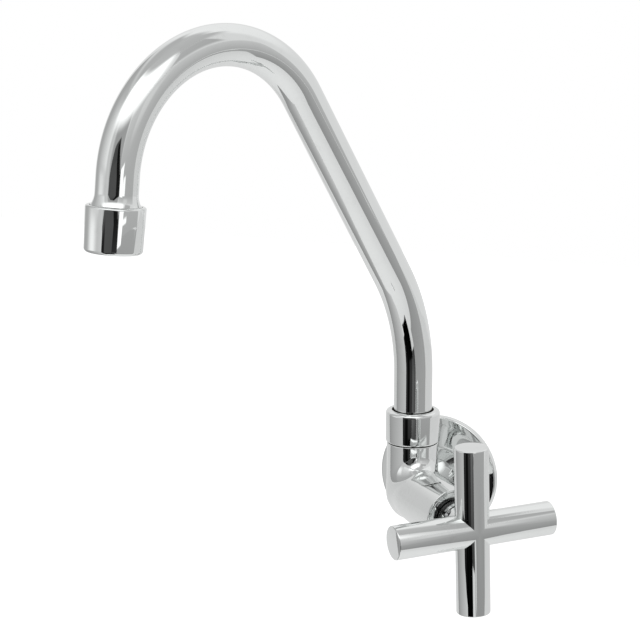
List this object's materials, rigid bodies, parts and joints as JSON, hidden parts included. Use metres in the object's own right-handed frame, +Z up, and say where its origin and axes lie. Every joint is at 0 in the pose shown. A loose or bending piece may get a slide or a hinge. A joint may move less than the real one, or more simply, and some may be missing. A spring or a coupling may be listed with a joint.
{
  "type": "wall-mounted kitchen tap",
  "caption": "Chrome wall-mounted kitchen tap with a high arched swivel spout, an aerator, an angled screw-down valve with a cross handle, and a round wall flange.",
  "frame": {"origin": "on the inlet axis where it meets the finished wall face", "axes": "+Y into the wall along the inlet thread, -Y out into the room, +X to the right as seen from the room, +Z up along the spout's swivel axis"},
  "size_m": [0.1629, 0.2212, 0.2659],
  "materials": {
    "chrome": "mirror-polished chrome plate on brass",
    "brass": "machined, unplated",
    "steel": "plain stainless",
    "rubber": "black nitrile",
    "plastic": "natural acetal"
  },
  "bodies": {
    "tap_body": {"body_casting": "chrome", "wall_flange": "chrome", "collar_nut": "chrome", "slip_rings": "plastic", "valve_bonnet": "chrome", "bonnet_seal": "rubber", "dust_ring": "rubber"},
    "spout": {"spout_tube": "chrome", "spout_bush": "brass", "spout_o_rings": "rubber", "outlet_bush": "chrome", "aerator_housing": "chrome", "aerator_washer": "rubber", "aerator_insert": "plastic", "aerator_screens": "steel"},
    "handle": {"handle_cross": "chrome", "drive_sleeve": "brass", "grub_screw": "steel", "spindle": "brass", "spindle_o_rings": "rubber", "thrust_washer": "plastic", "spindle_clip": "steel"},
    "plunger": {"valve_plunger": "brass", "seat_washer": "rubber", "washer_screw": "brass"}
  },
  "joints": [
    {"name": "spout_swivel", "type": "hinge", "parent": "tap_body", "child": "spout", "pos_m": [0, -0.0385, 0.03], "axis": [0, 0, 1], "range_deg": [-65.5, 114.5]},
    {"name": "handle_turn", "type": "hinge", "parent": "tap_body", "child": "handle", "pos_m": [0, -0.0385, 0.0027], "axis": [0.7071, -0.7071, 0], "range_deg": [0, 720]},
    {"name": "plunger_lift", "type": "slide", "parent": "tap_body", "child": "plunger", "axis": [0.7071, -0.7071, 0], "range_m": [0, 0.004]}
  ],
  "couplings": [
    {"joint": "plunger_lift", "follows": "handle_turn", "m_per_rad": 0.00031831}
  ]
}
